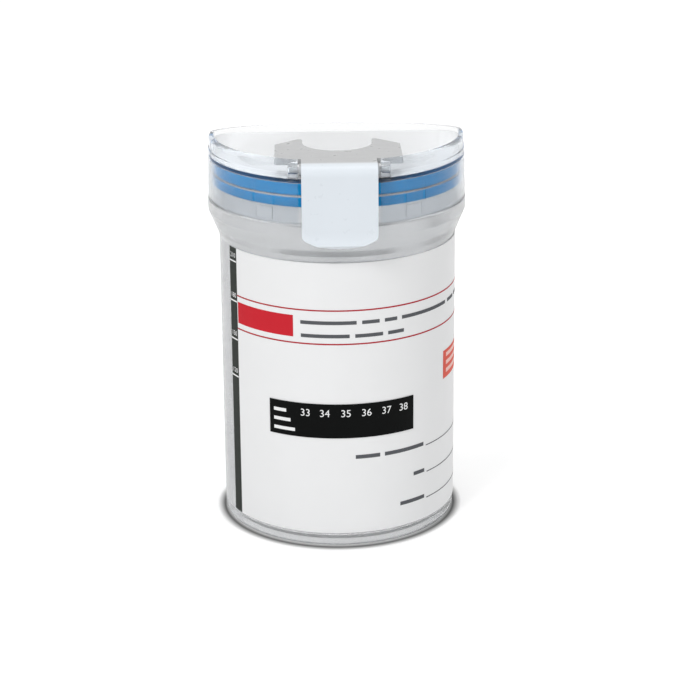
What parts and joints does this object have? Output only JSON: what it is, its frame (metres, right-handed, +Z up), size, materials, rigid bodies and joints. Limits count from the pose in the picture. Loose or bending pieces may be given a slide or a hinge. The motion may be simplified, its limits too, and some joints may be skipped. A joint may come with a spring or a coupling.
{
  "type": "drug test cup",
  "caption": "Specimen cup with a hinged snap lid, rocking latch, blue seal, printed front, thermometer strip, volume scale and test strips in a carrier inside.",
  "frame": {"origin": "centre of the foot ring, on the surface the cup stands on", "axes": "+Z up along the cup's axis, -Y towards the latch, +Y towards the lid's hinge, +X to the right when facing the latch"},
  "size_m": [0.0708, 0.078, 0.109],
  "materials": {
    "cup_plastic": "translucent, satin",
    "lid_plastic": "translucent, satin",
    "seal_rubber": "smooth",
    "latch_plastic": "opaque, semi-gloss",
    "label_print": "printed film, satin",
    "thermo_film": "glossy film",
    "scale_print": "ink",
    "carrier_plastic": "translucent",
    "strip_white": "laminated paper",
    "strip_red": "laminated paper with a red head"
  },
  "bodies": {
    "cup": {"cup": "cup_plastic", "strip_holder": "carrier_plastic", "front_label": "label_print", "temperature_strip": "thermo_film", "scale_strip": "scale_print", "test_strip_1": "strip_red", "test_strip_2": "strip_white", "test_strip_3": "strip_white", "test_strip_4": "strip_white", "test_strip_5": "strip_white", "test_strip_6": "strip_red"},
    "lid": {"lid": "lid_plastic", "gasket": "seal_rubber"},
    "latch": {"latch": "latch_plastic"}
  },
  "joints": [
    {"name": "lid_hinge", "type": "hinge", "parent": "cup", "child": "lid", "pos_m": [0, 0.0376, 0.091], "axis": [-1, 0, 0], "range_deg": [0, 110]},
    {"name": "latch_pivot", "type": "hinge", "parent": "lid", "child": "latch", "pos_m": [0, -0.0312, 0.106], "axis": [-1, 0, 0], "range_deg": [0, 10], "stiffness_Nm_per_rad": 0.2, "springref_deg": -5.73}
  ]
}
